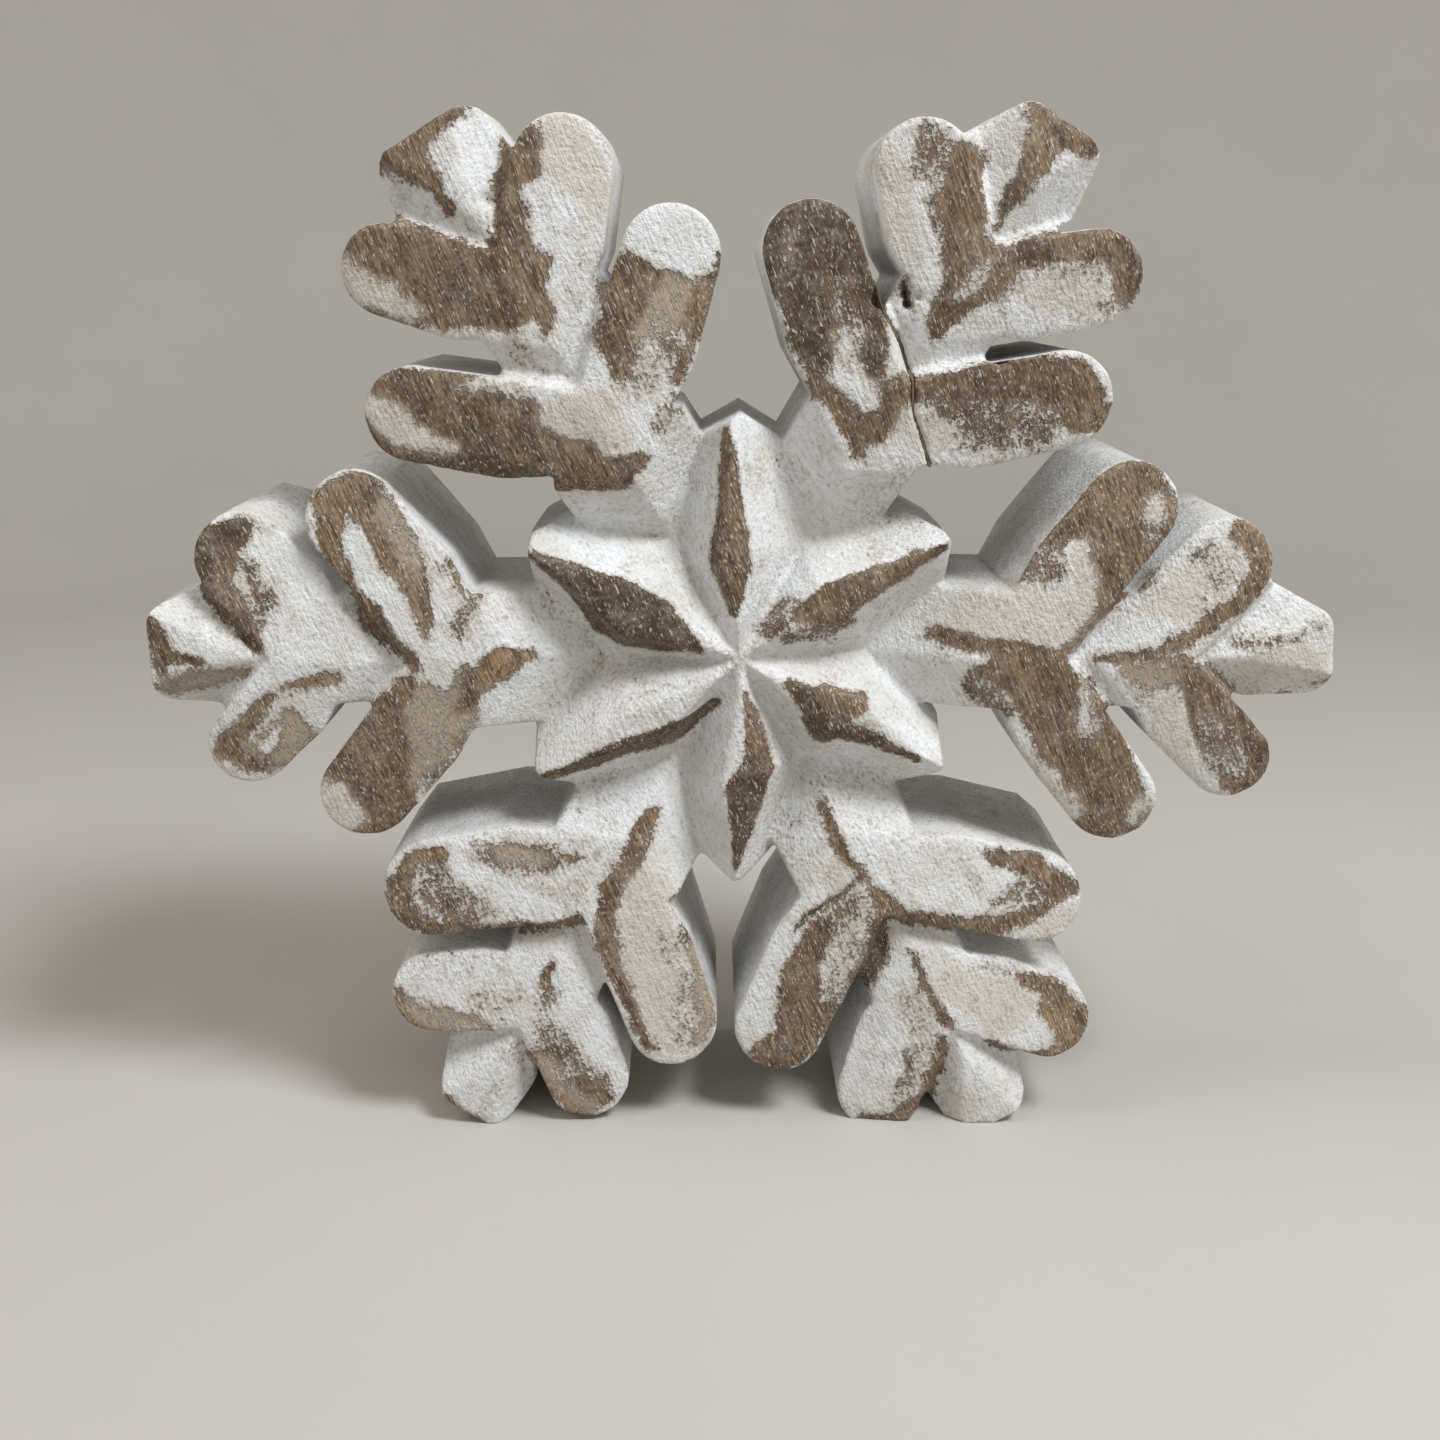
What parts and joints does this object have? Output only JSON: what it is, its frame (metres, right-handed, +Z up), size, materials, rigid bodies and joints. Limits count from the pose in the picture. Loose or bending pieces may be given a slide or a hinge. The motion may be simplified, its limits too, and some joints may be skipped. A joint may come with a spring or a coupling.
{
  "type": "carved wooden snowflake ornament",
  "caption": "Free-standing snowflake ornament carved in relief from one thick board, with a ridged star, petalled arms and one arm end glued back on.",
  "frame": {"origin": "centre of the bounding box's underside, level with the flats that the ornament stands on", "axes": "+X to the right along the two level arms, +Y back through the board away from the carved face, +Z up"},
  "size_m": [0.1514, 0.03, 0.1328],
  "materials": {
    "whitewashed_wood": "matte whitewash, rubbed back to brown wood on the high faces",
    "dried_glue": "dried wood glue"
  },
  "bodies": {
    "root": {"carved_snowflake": "whitewashed_wood", "glued_back_arm_end": "whitewashed_wood", "glue_film": "dried_glue"}
  },
  "joints": []
}
